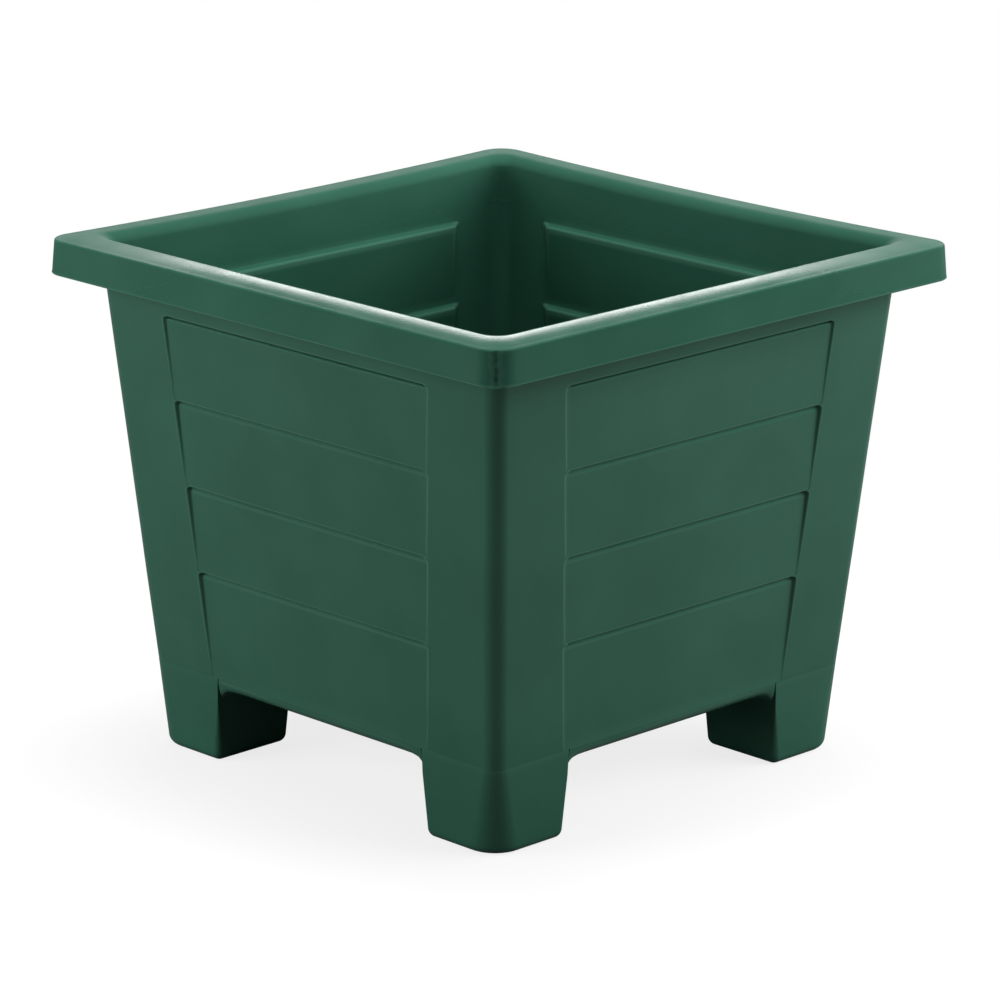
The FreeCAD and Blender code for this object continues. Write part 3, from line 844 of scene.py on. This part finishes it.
# Studio floor: a sheet of white paper, which the lens sees white with the planter's soft shadow on it.
# Like a small sheet in a dark room it throws little light back up.
PAPER_REACH = 9.0
PAPER_WHITE = (0.9, 0.9, 0.9, 1)
PAPER_DIM = (0.16, 0.16, 0.16, 1)
paper_corners = [(x * PAPER_REACH, y * PAPER_REACH, 0) for x, y in CORNERS]
floor_data = bpy.data.meshes.new("studio_floor")
floor_data.from_pydata(paper_corners, [], [(0, 1, 2, 3)])
floor = bpy.data.objects.new("studio_floor", floor_data)
bpy.context.scene.collection.objects.link(floor)
paper = bpy.data.materials.new("white_paper")
paper.use_nodes = True
tree = paper.node_tree
tree.nodes.clear()
place = tree.nodes.new("ShaderNodeTexCoord")
distance = tree.nodes.new("ShaderNodeVectorMath")
distance.operation = "LENGTH"
tree.links.new(place.outputs["Object"], distance.inputs[0])
glow = add_range(tree, distance.outputs["Value"], low=0.2, high=0.6, to_low=0.8, smooth=True)
white = tree.nodes.new("ShaderNodeBsdfDiffuse")
white.inputs["Color"].default_value = PAPER_WHITE
bright = tree.nodes.new("ShaderNodeEmission")
sheet = tree.nodes.new("ShaderNodeMixShader")
tree.links.new(glow, sheet.inputs["Fac"])
tree.links.new(white.outputs[0], sheet.inputs[1])
tree.links.new(bright.outputs[0], sheet.inputs[2])
dim = tree.nodes.new("ShaderNodeBsdfDiffuse")
dim.inputs["Color"].default_value = PAPER_DIM
seen = tree.nodes.new("ShaderNodeMixShader")
tree.links.new(tree.nodes.new("ShaderNodeLightPath").outputs["Is Camera Ray"], seen.inputs["Fac"])
tree.links.new(dim.outputs[0], seen.inputs[1])
tree.links.new(sheet.outputs[0], seen.inputs[2])
tree.links.new(seen.outputs[0], tree.nodes.new("ShaderNodeOutputMaterial").inputs["Surface"])
floor_data.materials.append(paper)

# Camera: a long lens from in front of the near corner, a little above the rim. It is turned and rolled
# by a fraction of a degree, and aimed at the planter's middle.
VIEW_TURN = math.radians(45 - 0.268)
VIEW_DIP = math.radians(16.075)
VIEW_ROLL = math.radians(0.299)
VIEW_DISTANCE = 2.8944
AIM_SIDEWAYS = 0.00119
AIM_HEIGHT = 0.15204
LENS = 175.49
SENSOR = 36.0
right = Vector((math.cos(VIEW_TURN), -math.sin(VIEW_TURN), 0))
backward = Vector((math.sin(VIEW_TURN), math.cos(VIEW_TURN), 0))
forward = backward * math.cos(VIEW_DIP) - Vector((0, 0, math.sin(VIEW_DIP)))
up = right.cross(forward)
camera_data = bpy.data.cameras.new("camera")
camera_data.lens = LENS
camera_data.sensor_width = SENSOR
camera = bpy.data.objects.new("camera", camera_data)
bpy.context.scene.collection.objects.link(camera)
tilted_right = right * math.cos(VIEW_ROLL) + up * math.sin(VIEW_ROLL)
tilted_up = up * math.cos(VIEW_ROLL) - right * math.sin(VIEW_ROLL)
place = right * AIM_SIDEWAYS + Vector((0, 0, AIM_HEIGHT)) - forward * VIEW_DISTANCE
turning = Matrix((tilted_right, tilted_up, -forward)).transposed().to_4x4()
camera.matrix_world = Matrix.Translation(place) @ turning
bpy.context.scene.camera = camera
bpy.context.scene.view_settings.view_transform = "Standard"

# Studio light: a dim room, soft boxes that are screened off from the plastic's mirror, and a long strip
# light behind the planter, which the crown of the near rim mirrors. All of them face its middle.
ROOM_GLOW = 0.08
LIT_POINT = Vector((0, 0, 0.17))
world = bpy.data.worlds.new("studio")
bpy.context.scene.world = world
world.use_nodes = True
tree = world.node_tree
background = tree.nodes["Background"]
background.inputs["Color"].default_value = (1, 1, 1, 1)
lens = tree.nodes.new("ShaderNodeLightPath").outputs["Is Camera Ray"]
tree.links.new(add_range(tree, lens, to_low=ROOM_GLOW), background.inputs["Strength"])


def add_lamp(name, sideways, behind, above, width, height, power, mirrored=False):
    data = bpy.data.lights.new(name, "AREA")
    data.shape = "RECTANGLE"
    data.size = width
    data.size_y = height
    data.energy = power
    lamp = bpy.data.objects.new(name, data)
    lamp.visible_glossy = mirrored
    lamp.visible_camera = False
    lamp.location = right * sideways + backward * behind + Vector((0, 0, above))
    lamp.rotation_mode = "QUATERNION"
    lamp.rotation_quaternion = (LIT_POINT - lamp.location).to_track_quat("-Z", "Y")
    bpy.context.scene.collection.objects.link(lamp)


add_lamp("softbox_left", sideways=-1.45, behind=-0.4, above=0.5, width=1.0, height=0.8, power=20)
add_lamp("softbox_right", sideways=1.45, behind=-0.2, above=0.75, width=1.2, height=0.9, power=24)
add_lamp("softbox_side", sideways=1.3, behind=0.8, above=0.6, width=1.0, height=0.9, power=12)
add_lamp("softbox_top", sideways=0.0, behind=0.1, above=2.0, width=1.0, height=1.0, power=40)
add_lamp("strip_behind", 0.0, behind=2.0, above=0.9, width=2.4, height=0.3, power=12, mirrored=True)
